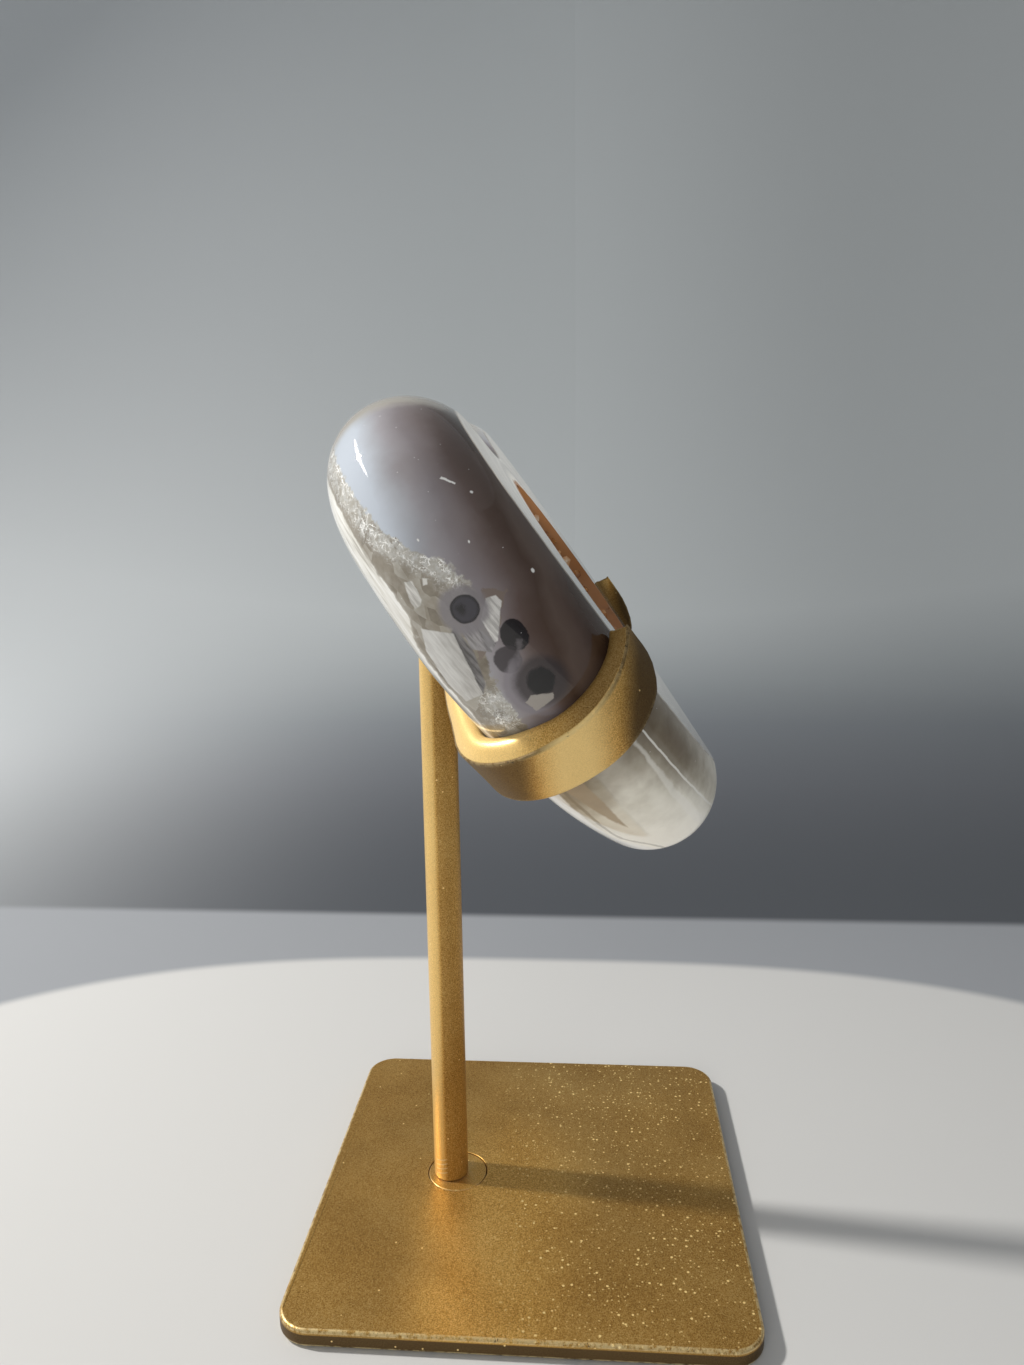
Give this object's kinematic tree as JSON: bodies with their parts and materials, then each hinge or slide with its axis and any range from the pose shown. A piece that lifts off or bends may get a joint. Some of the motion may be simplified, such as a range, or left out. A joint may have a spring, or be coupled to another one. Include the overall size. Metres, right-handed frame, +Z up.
{
  "type": "agate heart on stand",
  "caption": "Thick polished agate heart with a crystal pocket, lifted out of a bent flat-bar cradle on a round post and a square base plate.",
  "frame": {"origin": "centre of the base plate's underside", "axes": "+Z up along the post; +Y from the plate's centre towards the post, so the heart's flat face looks towards -Y and up; X across the heart's width"},
  "size_m": [0.086, 0.076, 0.1434],
  "materials": {
    "gold_paint": "satin gold metallic paint with a fine grain",
    "agate": "polished, glossy, partly translucent"
  },
  "bodies": {
    "stand": {"base_plate": "gold_paint", "foot_bush": "gold_paint", "post": "gold_paint", "cradle_band": "gold_paint"},
    "heart": {"agate_heart": "agate"}
  },
  "joints": [
    {"name": "heart_lift", "type": "slide", "parent": "stand", "child": "heart", "axis": [0, 0.5793, 0.8151], "range_m": [0, 0.055]}
  ]
}
